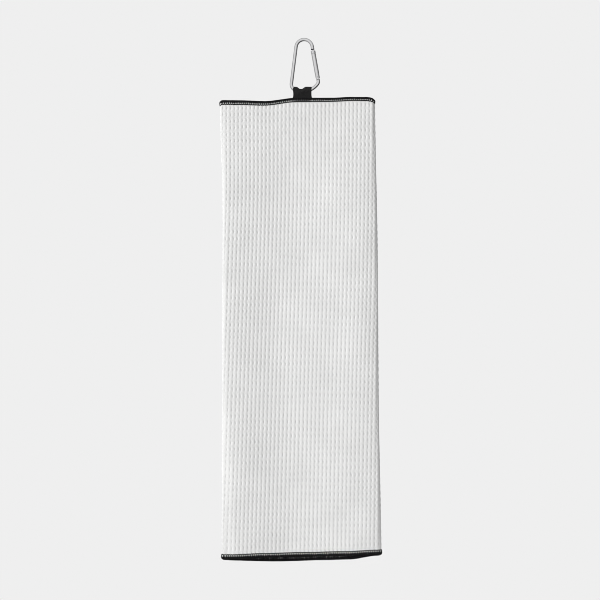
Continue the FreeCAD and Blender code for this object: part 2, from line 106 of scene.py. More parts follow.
def fold_path(u):
    """Middle of the cloth's thickness, and its outward direction, at distance u from the inner end."""
    left_turn = math.pi / 2 + (u - INNER_END) / LEFT_R
    right_turn = -math.pi / 2 + (u - FRONT_END) / RIGHT_R
    zones = [u < INNER_END, u < FRONT_START, u < FRONT_END, u < REAR_START]
    x = np.select(zones, [
        LEFT_X + INNER_END - u,
        LEFT_X + LEFT_R * np.cos(left_turn),
        LEFT_X + u - FRONT_START,
        RIGHT_X + RIGHT_R * np.cos(right_turn),
    ], RIGHT_X - u + REAR_START)
    y = np.select(zones, [
        INNER_Y + 0 * u,
        LEFT_R * np.sin(left_turn),
        FRONT_Y + 0 * u,
        RIGHT_Y + RIGHT_R * np.sin(right_turn),
    ], REAR_Y)
    out_x = np.select(zones, [0 * u, np.cos(left_turn), 0 * u, np.cos(right_turn)], 0)
    out_y = np.select(zones, [1 + 0 * u, np.sin(left_turn), -1 + 0 * u, np.sin(right_turn)], 1)
    return x, y, out_x, out_y


# how far each side strays to the right of a square fold, in mm, by share of the height from the top
LEFT_STRAY = [(0, -1.2), (0.22, 1.7), (1, 0.8)]
RIGHT_STRAY = [(-0.3, -6.6), (0.5, -1.0), (1.3, 4.4)]
# how much higher or lower the top edge hangs, in mm, by place across
TOP_STRAY = [(-88 * MM, -2.7), (-70 * MM, -2.9), (-44 * MM, -3.7), (-8 * MM, 0.0), (30 * MM, 0.0),
             (52 * MM, 0.9), (68 * MM, 0.8), (84 * MM, -1.4)]
# how much higher or lower the bottom edge hangs, in mm, by distance along the cloth
LOW_STRAY = [
    (0, 3.6), (35 * MM, -1.0), (95 * MM, -2.9), (INNER_END, -1.5),
    (FRONT_START, -0.1), (FRONT_START + 45 * MM, 1.4), (FRONT_START + 90 * MM, 2.6),
    (FRONT_START + 130 * MM, 3.7), (FRONT_END, 5.6),
    (REAR_START, 3.4), (REAR_START + 32 * MM, -0.9), (REAR_START + 60 * MM, -1.8),
    (REAR_START + 110 * MM, -3.3), (SIDE, -2.0)]
# how far the hanging cloth stands back, in mm, by place across
BACK_STRAY = [(-93 * MM, 2.2), (-79 * MM, -0.6), (-72 * MM, -0.8), (-18 * MM, 2.8), (70 * MM, -2.8),
              (92 * MM, -1.6)]
FOLD_DROOP = 1.6 * MM      # the top edge drops by this where it turns round a fold
FOLD_LIFT = 0.8 * MM       # and the bottom edge rises by this
TOP_FADE = 3               # powers by which the shape of an edge dies away towards the other one
BOTTOM_FADE = 4
PAST_EDGE = 1.02           # sewing this far past an edge, as a share of the height, still follows it

HELD = 0.25                # the share of the sway that is left at the tape
HELD_SHARE = 0.2           # the tape steadies the cloth down to this share of its height
NARROW_WAVE = 0.3          # heights of the narrow and slow waves, in mm
SLOW_WAVE = 0.5
WANDER = 6 * MM            # how far the broad waves stray sideways on their way down


def sway(x, z):
    """Shallow upright waves of the hanging cloth, nearly flat where the tape holds it."""
    share = (TOP - z) / SIDE
    hold = HELD + (1 - HELD) * ease(0, HELD_SHARE, share)
    narrow = NARROW_WAVE * np.sin(74 * x - 2.1 * share + 0.6)
    slow = SLOW_WAVE * np.sin(5.0 * share + 9 * x)
    broad = along(BACK_STRAY, x + WANDER * np.sin(4 * share))
    return hold * (broad + narrow + slow) * MM


def place(u, z, n):
    """Where a point of the flat cloth comes to lie: u along, z up, n out from its middle thickness."""
    u, z, n = np.broadcast_arrays(u, z, n)
    x, y, out_x, out_y = fold_path(u)
    x = x + n * out_x
    y = y + n * out_y
    share = (TOP - z) / SIDE
    across = (x - cloth_lo.x) / (cloth_hi.x - cloth_lo.x)
    x = x + MM * ((1 - across) * along(LEFT_STRAY, share) + across * along(RIGHT_STRAY, share))
    above = np.clip(1 - share, 0, PAST_EDGE) ** TOP_FADE
    below = np.clip(share, 0, PAST_EDGE) ** BOTTOM_FADE
    z = z + (MM * along(TOP_STRAY, x) - FOLD_DROOP * out_x ** 2) * above
    z = z + (MM * along(LOW_STRAY, u) + FOLD_LIFT * out_x ** 2) * below
    return np.stack([x, y + sway(x, z), z], axis=-1)


# ---------------------------------------------------------------- meshes


def mesh_object(name, points, faces, smooth=True):
    """A named object in the scene, from an array of points and a list of faces."""
    mesh = bpy.data.meshes.new(name)
    mesh.from_pydata(np.asarray(points).reshape(-1, 3).tolist(), [], faces)
    mesh.validate()
    item = bpy.data.objects.new(name, mesh)
    bpy.context.scene.collection.objects.link(item)
    if smooth:
        mesh.shade_smooth()
    return item


def unit(vectors):
    """The same directions, with a length of 1."""
    return vectors / np.maximum(np.linalg.norm(vectors, axis=-1, keepdims=True), 1e-12)


def threads(paths, ref, wide, high, sides=6):
    """Tubes round paths (tube, point, 3), as points and faces.

    ref is a way that no path runs. wide is a tube's radius along ref, and high is its radius across it.
    """
    paths = np.asarray(paths, float)
    tubes, count = paths.shape[:2]
    tangent = unit(np.gradient(paths, axis=1))
    side = unit(np.cross(tangent, np.asarray(ref, float)))
    up = np.cross(side, tangent)
    turn = 2 * math.pi * np.arange(sides) / sides
    wide = np.broadcast_to(wide, (tubes, count))[..., None, None]
    high = np.broadcast_to(high, (tubes, count))[..., None, None]
    ring = paths[:, :, None] + (up[:, :, None] * wide * np.cos(turn)[:, None]
                                + side[:, :, None] * high * np.sin(turn)[:, None])
    return ring, tube_faces(tubes, count, sides)


def tube_faces(tubes, count, sides):
    """Sides and two end caps for each tube of count rings."""
    faces = []
    for tube in range(tubes):
        first = tube * count * sides
        for row in range(count - 1):
            low = first + row * sides
            for k in range(sides):
                after = (k + 1) % sides
                faces.append((low + k, low + after, low + sides + after, low + sides + k))
        last = first + (count - 1) * sides
        faces.append(tuple(first + k for k in reversed(range(sides))))
        faces.append(tuple(last + k for k in range(sides)))
    return faces


def grid_faces(rows, columns, start=0, flip=False):
    """Quads of a grid of points, row by row from point start. flip turns them to face the other way."""
    row, column = np.meshgrid(np.arange(rows - 1), np.arange(columns - 1), indexing="ij")
    corner = start + row * columns + column
    below = corner + columns
    order = [corner, corner + 1, below + 1, below] if flip else [corner, below, below + 1, corner + 1]
    return [tuple(quad) for quad in np.stack(order, -1).reshape(-1, 4).tolist()]


def on_cloth(ring):
    """Carries points of the flat cloth, as (along, up, out), to where they hang."""
    return place(ring[..., 0], ring[..., 1], ring[..., 2])


def joined(name, parts):
    """One mesh of several (points, faces)."""
    points, faces, start = [], [], 0
    for some, them in parts:
        some = np.asarray(some).reshape(-1, 3)
        points.append(some)
        faces += [tuple(start + k for k in face) for face in them]
        start += len(some)
    return mesh_object(name, np.concatenate(points), faces)


# ---------------------------------------------------------------- waffle cloth

RIB = 4.45 * MM            # from one upright groove to the next
PIT = 7.3 * MM             # from one pit to the next along a groove
ROWS_A_PIT = 6
COARSE = 4                 # the cloth's other side has one row for this many
PLAIN_COLUMNS = 36         # on the hidden stretch of the inner layer, which has no grooves
LEAN = 15.5 * MM           # how far a groove strays sideways from top to bottom
WIGGLE = 0.34 * MM         # how far it bends to either side, once for each pit
RIB_EDGE = 0.16            # the groove's depth at the two edges of a rib, as a share
# one groove and rib: (place from one groove to the next, share of the groove's depth)
GROOVE = [(0.0, 1.0), (0.12, 0.72), (0.25, RIB_EDGE), (0.5, -0.1), (0.75, RIB_EDGE), (0.88, 0.72)]
GROOVE_DEPTH = 0.22 * MM
PIT_DEPTH = 0.48 * MM
PIT_PHASE = 1.2            # where along the wiggle the pits fall, in radians
PIT_ROUND = 0.9            # below 1, the pits are longer than the bars between them
UNEVEN = 0.22              # how much the pits differ
RIB_DIP = 0.14 * MM        # how much a rib dips and rises along its length
NAP = 0.05 * MM            # how much the ribs' height differs from point to point
SEAM = 4.6 * MM            # the edge sewing presses the relief flat about this far in


def cloth_columns():
    """For each column, its distance along and the groove's strength there, and which ones are coarse."""
    start = INNER_END - 2 * RIB
    ribs = round((SIDE - start) / RIB)
    step = (SIDE - start) / ribs
    plain = np.linspace(0, start, PLAIN_COLUMNS, endpoint=False)
    u = list(plain)
    strength = [0.0] * len(plain)
    coarse = list(range(len(plain)))
    for rib in range(ribs):
        for part, deep in GROOVE:
            if part == 0:
                coarse.append(len(u))
            u.append(start + (rib + part) * step)
            strength.append(deep)
    coarse.append(len(u))
    u.append(SIDE)
    strength.append(0.0)
    return np.array(u), np.array(strength), coarse


def drift(u, z):
    """Slow unevenness of the weave, about -1 to 1."""
    first = np.sin(61 * u + 37 * z + 1.3) + np.sin(-43 * u + 71 * z)
    second = np.sin(139 * u - 88 * z + 2.1) + np.sin(97 * u + 151 * z + 0.4)
    return first * 0.3 + second * 0.2


def pit_phase(u, z):
    """The weave's place in its repeat up and down, in radians."""
    return 2 * math.pi * z / PIT + 1.5 * drift(u, z)


def grain_shift(u, z):
    """The grooves lean and wiggle; the cut ends stay straight."""
    share = (TOP - z) / SIDE
    loose = ease(0, INNER_END, u) * (1 - ease(REAR_START, SIDE, u))
    wiggle = WIGGLE * (1 + 0.35 * drift(z, u)) * np.sin(pit_phase(u, z))
    return loose * (LEAN * (0.5 - share) + wiggle)


def relief(u, z, strength):
    """How far the face lies below the cloth's full thickness: grooves, pits along them and dips in ribs."""
    from_edge = np.minimum(TOP - z, z - BOTTOM)
    from_end = np.minimum(u, SIDE - u)
    free = ease(0.6 * SEAM, 1.1 * SEAM, from_edge) * ease(0.6 * SEAM, 1.1 * SEAM, from_end)
    swell = np.cos(pit_phase(u, z) + PIT_PHASE)
    pits = (0.5 - 0.5 * swell) ** PIT_ROUND
    uneven = 1 + UNEVEN * weave_noise.standard_normal(u.shape)
    deep = strength * np.where(strength > 0, GROOVE_DEPTH + PIT_DEPTH * pits * uneven, GROOVE_DEPTH)
    on_rib = strength <= RIB_EDGE
    return free * (deep + on_rib * (RIB_DIP * swell - NAP * (uneven - 1)))


def rim_faces(coarse_rows, coarse, rows, columns):
    """Faces round the four edges, from each stretch of the fine side to the coarse side behind it."""
    few = len(coarse)
    last = len(coarse_rows) - 1
    start = (rows + 1) * columns

    def fine(row, column):
        return row * columns + column

    def back(row, column):
        return start + row * few + column

    faces = []
    for k in range(few - 1):
        span = range(coarse[k], coarse[k + 1] + 1)
        faces.append((back(0, k), *[fine(0, c) for c in span], back(0, k + 1)))
        faces.append((back(last, k + 1), *[fine(rows, c) for c in reversed(span)], back(last, k)))
    for k in range(last):
        span = range(coarse_rows[k], coarse_rows[k + 1] + 1)
        faces.append((back(k + 1, 0), *[fine(r, 0) for r in reversed(span)], back(k, 0)))
        faces.append((back(k, few - 1), *[fine(r, columns - 1) for r in span], back(k + 1, few - 1)))
    return faces


def waffle_cloth():
    """The whole towel as one closed mesh, with relief on the side that is seen and none on the other."""
    u, strength, coarse = cloth_columns()
    rows = round(SIDE / PIT * ROWS_A_PIT / COARSE) * COARSE
    z = np.linspace(TOP, BOTTOM, rows + 1)
    grid_u, grid_z = np.meshgrid(u, z)
    face = place(grid_u + grain_shift(grid_u, grid_z), grid_z, HALF - relief(grid_u, grid_z, strength))
    coarse_rows = list(range(0, rows + 1, COARSE))
    low_u, low_z = np.meshgrid(u[coarse], z[coarse_rows])
    inside = place(low_u + grain_shift(low_u, low_z), low_z, -HALF)
    columns = len(u)
    faces = grid_faces(rows + 1, columns)
    faces += grid_faces(len(coarse_rows), len(coarse), (rows + 1) * columns, flip=True)
    faces += rim_faces(coarse_rows, coarse, rows, columns)
    points = np.concatenate([face.reshape(-1, 3), inside.reshape(-1, 3)])
    return mesh_object("towel_waffle", points, faces)


# ---------------------------------------------------------------- edge sewing

STITCH = 2.38 * MM         # from one stitch to the next, and how far one strays from its place
STITCH_STRAY = 0.12 * MM
LEG_WIDE = 0.6 * MM        # a leg's radius along the edge, and its radius across that
LEG_HIGH = 0.34 * MM
LEG_VARIES = (0.93, 1.04)  # least and greatest share of that width, from leg to leg
REACH_VARIES = (0.93, 1.06)
NECK = 2 * MM              # a leg's reach in from the edge varies only past this far in
UNDERSIDE_SPREAD = 0.95    # least spread of the legs on the underside
# one leg of a stitch: mm in from the edge, share of its spread, mm out from the face, share of its width
LEG = [(4.3, 0.1, -0.45, 0.8), (3.8, 0.1, 0.1, 0.9), (3.2, 0.08, 0.18, 0.86), (2.5, 0.08, 0.26, 0.86),
       (1.75, 0.85, 0.3, 1.0), (1.0, 1.0, 0.34, 1.1), (0.1, 1.0, 0.22, 1.1), (-0.45, 1.0, -0.35, 1.1)]
# how deep the top edge is sewn, as a share of the other edges, by distance along the cloth
TOP_BITE = [(FRONT_START + 30 * MM, 1.0), (FRONT_START + 75 * MM, 0.92), (FRONT_START + 135 * MM, 0.85)]

NEEDLE_INSET = 4.0 * MM    # the needle thread's place in from the edge
NEEDLE_BOW = 0.24 * MM     # how far it swings in and out at each stitch
NEEDLE_OUT = 0.13 * MM     # how far its middle is above the face, and how far it dives at each stitch
NEEDLE_DIVE = 0.12 * MM
NEEDLE_HIGH = 0.28 * MM    # its radius out from the face
NEEDLE_WIDE = 0.6 * MM     # its radius along the face, and how much that varies at each stitch
NEEDLE_SWELL = 0.1 * MM
END_GAP = 1.0 * MM         # the sewing of a side edge stops this far short of the corners


def leg_path():
    """The leg on both faces, round the edge: (in from the edge, spread, out from the middle, width).

    The legs lie close in pairs on the face and spread evenly on the underside.
    """
    face = [(d * MM, spread, HALF + lift * MM, share) for d, spread, lift, share in LEG]
    back = [(d, max(spread, UNDERSIDE_SPREAD), -out, share) for d, spread, out, share in reversed(face)]
    return np.array(face + back)


def bite(edge, s):
    """How deep an edge is sewn at s along it, as a share."""
    return along(TOP_BITE, s) if edge == "top" else 1.0


def beside(edge, s, d, n):
    """Points of the flat cloth: s along an edge, d in from it, and n out from the cloth's middle."""
    if edge == "top":
        return np.stack([s, TOP - d, n], -1)
    if edge == "bottom":
        return np.stack([s, BOTTOM + d, n], -1)
    if edge == "start":
        return np.stack([d, s, n], -1)
    return np.stack([SIDE - d, s, n], -1)


def overlock(name, edge, low, high):
    """Stitches along an edge, from low to high. edge is top, bottom, start or end."""
    path = leg_path()
    count = round((high - low) / STITCH)
    step = (high - low) / count
    paths = []
    wide = []
    for number in range(count):
        middle = low + (number + 0.5) * step + rng.uniform(-STITCH_STRAY, STITCH_STRAY)
        reach = rng.uniform(*REACH_VARIES)
        d = bite(edge, middle) * np.where(path[:, 0] > NECK, path[:, 0] * reach, path[:, 0])
        for way in (-1, 1):
            s = middle + way * path[:, 1] * step / 4
            paths.append(beside(edge, s, d, path[:, 2]))
            wide.append(LEG_WIDE * rng.uniform(*LEG_VARIES) * path[:, 3])
    ref = (1, 0, 0) if edge in ("top", "bottom") else (0, 1, 0)
    ring, faces = threads(paths, ref, np.array(wide), LEG_HIGH)
    return mesh_object(name, on_cloth(ring), faces)


def needle_line(name, edge, low, high):
    """A scalloped run of thread on each face, just inside the stitches."""
    count = round((high - low) / STITCH)
    s = np.linspace(low, high, count * 4 + 1)
    phase = 2 * math.pi * (s - low) / (high - low) * count
    wave = np.cos(phase)
    wide = NEEDLE_WIDE + NEEDLE_SWELL * wave
    d = (NEEDLE_INSET + NEEDLE_BOW * wave) * bite(edge, s)
    parts = []
    for face in (1, -1):
        line = beside(edge, s, d, face * (HALF + NEEDLE_OUT - NEEDLE_DIVE * wave))
        ring, faces = threads(line[None], (0, 0, 1), NEEDLE_HIGH, wide[None])
        parts.append((on_cloth(ring), faces))
    return joined(name, parts)


# ---------------------------------------------------------------- tape loop and the stitches that hold it

tape_lo, tape_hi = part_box("hanging_loop")
hook_lo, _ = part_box("carabiner_body")
WIRE_R = 1.9 * MM
BAR_X = -2 * MM            # the bar's lowest point, and the radius it curves upward with
BAR_Z = hook_lo.z + WIRE_R
BAR_R = 21 * MM

TAPE_THICK = 0.8 * MM
TAPE_STEP = 0.35 * MM      # from one row of points to the next
TAPE_COLUMNS = 84
TAPE_GAP = 0.12 * MM       # between the tape and the wire
TAIL_GAP = 0.03 * MM       # between each tail and the plane where they meet
MEET = 5.4 * MM            # how far below the bar the two tails come together
TAPE_FLARE = 0.5 * MM      # how much each side spreads where it is sewn down
TAPE_BULGE = 0.5 * MM      # how far the left edge is pushed out by the bend of the wire
CREASE_X = -3.5 * MM       # the tape stands up either side of this crease
CREASE_HALF = 0.8 * MM     # half the crease's width, and how far from its middle the tape is at full height
CREST_REACH = 5.2 * MM
CREST = 2.4 * MM
SELVEDGE = 0.9 * MM        # the tape thins over this much of its edge, to this share
SELVEDGE_THIN = 0.62
WEFT = 0.7 * MM            # from one cross rib to the next, and how high they stand
WEFT_HIGH = 0.045 * MM
CORDS = 14                 # lengthways cords across the tape, and how high they stand
CORD_HIGH = 0.05 * MM


def crest(x):
    """How much higher than the bar's lowest stretch the tape crosses it."""
    bar = BAR_R - np.sqrt(BAR_R ** 2 - (x - BAR_X) ** 2)
    stand = CREST * ease(CREASE_HALF, CREST_REACH, np.abs(x - CREASE_X))
    return np.maximum(bar, stand)


def tape_section():
    """The middle of the tape's thickness, front tail to back: distance along it, y, drop below the bar."""
    bend = WIRE_R + TAPE_GAP + TAPE_THICK / 2
    lay = TAPE_THICK / 2 + TAIL_GAP
    # up the front tail, round the top of the wire, and down the back tail
    front = [
        (-lay, BAR_Z - tape_lo.z), (-lay, MEET + 1.2 * MM), (-lay - 0.1 * MM, MEET),
        (-bend * 0.62, MEET * 0.66), (-bend, 1.2 * MM)]
    turns = [math.pi * step / 12 for step in range(13)]
    over = [(-bend * math.cos(turn), -bend * math.sin(turn) * 1.04) for turn in turns]
    back = [(-y, drop) for y, drop in reversed(front)]
    points = np.array(front + over + back)
    gaps = np.linalg.norm(np.diff(points, axis=0), axis=1)
    far = np.concatenate([[0], np.cumsum(gaps)])
    s = np.linspace(0, far[-1], round(far[-1] / TAPE_STEP) + 1)
    y = np.interp(s, far, points[:, 0])
    drop = np.interp(s, far, points[:, 1])
    for _ in range(3):
        y[1:-1] = (y[:-2] + 2 * y[1:-1] + y[2:]) / 4
        drop[1:-1] = (drop[:-2] + 2 * drop[1:-1] + drop[2:]) / 4
    return s, y, drop


def tape_sides(s, a, y, drop):
    """Outer and inner face of the tape, for grids of distance along and share across."""
    width = tape_hi.x - tape_lo.x
    middle = (tape_lo.x + tape_hi.x) / 2
    on_bar = 1 - ease(0.5 * MM, 6 * MM, drop)
    flare = TAPE_FLARE * ease(4.2 * MM, 7.2 * MM, drop)
    bulge = np.exp(-((drop - 0.2 * MM) / (2 * MM)) ** 2) * TAPE_BULGE * (1 - a) ** 3
    x = middle + (a - 0.5) * (width + 2 * flare) - bulge
    z = BAR_Z - drop + crest(x) * on_bar
    step_y = np.gradient(y, axis=0)
    step_d = np.gradient(drop, axis=0)
    length = np.hypot(step_y, step_d)
    out_y = -step_d / length
    out_z = step_y / length
    from_edge = np.minimum(a, 1 - a) * width
    thin = SELVEDGE_THIN + (1 - SELVEDGE_THIN) * ease(0, SELVEDGE, from_edge)
    half = TAPE_THICK / 2 * thin
    weave = WEFT_HIGH * np.cos(2 * math.pi * s / WEFT) + CORD_HIGH * np.cos(2 * math.pi * a * CORDS)
    high = half + weave
    outer = np.stack([x, y + out_y * high, z + out_z * high], -1)
    inner = np.stack([x, y - out_y * half, z - out_z * half], -1)
    return outer, inner


def tape_loop():
    """The tape over the bar and down both sides of the towel's edge, as one closed mesh."""
    s, y, drop = tape_section()
    across = np.linspace(0, 1, TAPE_COLUMNS + 1)
    grid_s, grid_a = np.meshgrid(s, across, indexing="ij")
    grid_y = np.repeat(y[:, None], len(across), 1)
    grid_d = np.repeat(drop[:, None], len(across), 1)
    outer, inner = tape_sides(grid_s, grid_a, grid_y, grid_d)
    rows, columns = grid_s.shape
    start = rows * columns
    faces = grid_faces(rows, columns, flip=True) + grid_faces(rows, columns, start)
    last = columns - 1
    for r in range(rows - 1):
        left = r * columns
        right = left + last
        faces.append((left, left + columns, start + left + columns, start + left))
        faces.append((right, start + right, start + right + columns, right + columns))
    end = (rows - 1) * columns
    for c in range(last):
        faces.append((c, start + c, start + c + 1, c + 1))
        faces.append((end + c, end + c + 1, start + end + c + 1, start + end + c))
    return mesh_object("loop_tape", np.concatenate([outer.reshape(-1, 3), inner.reshape(-1, 3)]), faces)


BARTACKS = 9
BARTACK_R = 0.24 * MM
BARTACK_GAP = 0.12         # the share of a stitch's place left free at each end, and rounded at each corner


def bartack():
    """A row of lockstitches that holds the tape behind the front edge's sewing."""
    low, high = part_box("loop_bartack")
    step = (high.x - low.x) / BARTACKS
    z = (low.z + high.z) / 2
    front = FRONT_Y - HALF - 0.6 * MM
    dive = front + 0.35 * MM
    inside = -0.5 * MM
    back = TAPE_THICK - BARTACK_R
    corner = BARTACK_GAP * step
    paths = []
    for number in range(BARTACKS):
        x0 = low.x + (number + BARTACK_GAP) * step
        x1 = low.x + (number + 1 - BARTACK_GAP) * step
        tilt = rng.uniform(-0.25, 0.25) * MM
        paths.append([
            (x0, back, z), (x0, inside, z), (x0, dive, z + tilt / 2), (x0 + corner, front, z + tilt),
            (x1 - corner, front, z - tilt), (x1, dive, z - tilt / 2), (x1, inside, z), (x1, back, z)])
    ring, faces = threads(paths, (0, 0, 1), BARTACK_R, BARTACK_R)
    return mesh_object("stitch_bartack", ring, faces)


# ---------------------------------------------------------------- gate spring

joints = {joint["name"]: joint for joint in frame["record"]["behaviour"]["joints"]}
# the gate's hinge, and the way its tube points when it is closed
HINGE = Vector(joints["gate_hinge"]["pos_m"])
GATE_UP = Vector(joints["plunger_slide"]["axis"])
SPRING_LOW = 4.3 * MM      # its first and last turn, up the gate from the hinge
SPRING_HIGH = 13.25 * MM
SPRING_R = 1.3 * MM
SPRING_WIRE = 0.2 * MM
SPRING_TURNS = 7
POINTS_A_TURN = 24


def return_spring():
    """The coil between the plunger's shoulder and the end of the gate's bore."""
    share = np.linspace(0, 1, SPRING_TURNS * POINTS_A_TURN + 1)[:, None]
    turn = 2 * math.pi * SPRING_TURNS * share
    up = np.array(GATE_UP)
    across = np.array((up[2], 0, -up[0]))
    back = np.array((0, 1, 0))
    path = np.array(HINGE) + up * (SPRING_LOW + (SPRING_HIGH - SPRING_LOW) * share)
    path = path + SPRING_R * (across * np.cos(turn) + back * np.sin(turn))
    ring, faces = threads(path[None], up, SPRING_WIRE, SPRING_WIRE, sides=10)
    return mesh_object("return_spring", ring, faces)


# ---------------------------------------------------------------- materials


def node(tree, kind, inputs=None, **settings):
    """A new node with these input values and settings."""
    item = tree.nodes.new(kind)
    for name, value in settings.items():
        setattr(item, name, value)
    for name, value in (inputs or {}).items():
        item.inputs[name].default_value = value
    return item


def new_material(name, **sockets):
    """A material and its parts. sockets are values of the main shader, with _ for a space."""
    material = bpy.data.materials.new(name)
    material.use_nodes = True
    tree = material.node_tree
    shader = tree.nodes["Principled BSDF"]
    for socket, value in sockets.items():
        shader.inputs[socket.replace("_", " ")].default_value = value
    coordinates = node(tree, "ShaderNodeTexCoord").outputs["Object"]
    return material, tree, shader, coordinates


def stretched(tree, coordinates, scale):
    """Coordinates with a different scale each way, for a pattern that has a grain."""
    mapping = node(tree, "ShaderNodeMapping", {"Scale": scale})
    tree.links.new(coordinates, mapping.inputs["Vector"])
    return mapping.outputs["Vector"]


def noise(tree, vector, scale, detail=3.0, roughness=0.55):
    """Cloudy noise, from 0 to 1."""
    texture = node(tree, "ShaderNodeTexNoise", {"Scale": scale, "Detail": detail, "Roughness": roughness})
    tree.links.new(vector, texture.inputs["Vector"])
    return texture.outputs["Fac"]


def slanting(tree, vector, scale, distortion):
    """Diagonal bands, a little uneven."""
    settings = {"Scale": scale, "Distortion": distortion, "Detail": 1.0}
    texture = node(tree, "ShaderNodeTexWave", settings, bands_direction="DIAGONAL")
    tree.links.new(vector, texture.inputs["Vector"])
    return texture.outputs["Fac"]


def ramp(tree, value, low, high, from_low=0.3, from_high=0.7):
    """Colours low to high over the value's middle range."""
    item = node(tree, "ShaderNodeValToRGB")
    item.color_ramp.elements[0].position = from_low
    item.color_ramp.elements[0].color = (*low, 1)
    item.color_ramp.elements[1].position = from_high
    item.color_ramp.elements[1].color = (*high, 1)
    tree.links.new(value, item.inputs["Fac"])
    return item.outputs["Color"]


def spread(tree, value, low, high, from_low=0.3, from_high=0.7, **settings):
    """Numbers low to high over the value's middle range."""
    limits = {"From Min": from_low, "From Max": from_high, "To Min": low, "To Max": high}
    item = node(tree, "ShaderNodeMapRange", limits, **settings)
    tree.links.new(value, item.inputs["Value"])
    return item.outputs["Result"]


def bump(tree, shader, heights):
    """heights are (value, strength, distance); each bump feeds the next."""
    normal = None
    for value, strength, distance in heights:
        item = node(tree, "ShaderNodeBump", {"Strength": strength, "Distance": distance})
        tree.links.new(value, item.inputs["Height"])
        if normal is not None:
            tree.links.new(normal, item.inputs["Normal"])
        normal = item.outputs["Normal"]
    tree.links.new(normal, shader.inputs["Normal"])


def cloth_material():
    """White cotton: slightly blotchy, with a fine knit and fuzz."""
    material, tree, shader, where = new_material(
        "waffle_cloth", Sheen_Weight=0.25, Sheen_Roughness=0.5, Specular_IOR_Level=0.2)
    blotch = noise(tree, where, 28.0, 4.0)
    white = ramp(tree, blotch, (0.73, 0.73, 0.725), (0.79, 0.79, 0.785))
    tree.links.new(white, shader.inputs["Base Color"])
    fuzz = noise(tree, where, 2200.0, 4.0, 0.7)
    knit = noise(tree, stretched(tree, where, (900.0, 900.0, 420.0)), 1.0, 2.0)
    tree.links.new(spread(tree, fuzz, 0.82, 0.98), shader.inputs["Roughness"])
    bump(tree, shader, [(knit, 0.5, 0.0004), (fuzz, 0.4, 0.0002)])
    return material


def thread_material():
    """Black thread with a twist and a little lint."""
    material, tree, shader, where = new_material(
        "edge_thread", Sheen_Weight=0.03, Specular_IOR_Level=0.22)
    lint = noise(tree, where, 900.0, 4.0, 0.7)
    black = ramp(tree, lint, (0.0025, 0.0025, 0.003), (0.009, 0.009, 0.0095), 0.4, 0.8)
    tree.links.new(black, shader.inputs["Base Color"])
    twist = slanting(tree, where, 900.0, 1.5)
    tree.links.new(spread(tree, lint, 0.5, 0.8), shader.inputs["Roughness"])
    bump(tree, shader, [(twist, 0.5, 0.0001), (lint, 0.3, 0.0001)])
    return material


def tape_material():
    """Black woven tape with a slanting weave."""
    material, tree, shader, where = new_material(
        "loop_tape", Sheen_Weight=0.04, Specular_IOR_Level=0.22)
    weave = slanting(tree, where, 420.0, 0.6)
    lint = noise(tree, where, 700.0, 4.0, 0.7)
    black = ramp(tree, lint, (0.008, 0.0078, 0.008), (0.026, 0.0255, 0.026), 0.4, 0.8)
    tree.links.new(black, shader.inputs["Base Color"])
    tree.links.new(spread(tree, weave, 0.5, 0.75, 0.0, 1.0), shader.inputs["Roughness"])
    bump(tree, shader, [(weave, 0.6, 0.00015), (lint, 0.3, 0.0001)])
    return material


NOSE_END = 30.5 * MM       # up the gate from the hinge, where the wire's free end starts
NOSE_RING = 0.45 * MM      # half the height of the ring of painted shade there
SHOULDER = -2.9 * MM       # and the same for the ring of painted shade at the wire's sawn shoulder below the hinge
SHOULDER_RING = 0.16 * MM
# colour of the painted shade where the wire's ends lie in shadow
PAINTED_SHADE_COLOUR = (0.055, 0.055, 0.06)


def near_point(tree, where, point, inner, outer):
    """1 within inner of the point, falling to 0 at outer."""
    gap = node(tree, "ShaderNodeVectorMath", operation="DISTANCE")
    gap.inputs[1].default_value = point
    tree.links.new(where, gap.inputs[0])
    return spread(tree, gap.outputs["Value"], 1.0, 0.0, inner, outer, interpolation_type="SMOOTHSTEP")


def near_plane(tree, where, point, way, inner, outer):
    """1 within inner of the plane square to way through the point, falling to 0 at outer."""
    moved = node(tree, "ShaderNodeVectorMath", operation="SUBTRACT")
    moved.inputs[1].default_value = point
    tree.links.new(where, moved.inputs[0])
    past = node(tree, "ShaderNodeVectorMath", operation="DOT_PRODUCT")
    past.inputs[1].default_value = way
    tree.links.new(moved.outputs["Vector"], past.inputs[0])
    gap = node(tree, "ShaderNodeMath", operation="ABSOLUTE")
    tree.links.new(past.outputs["Value"], gap.inputs[0])
    return spread(tree, gap.outputs["Value"], 1.0, 0.0, inner, outer)


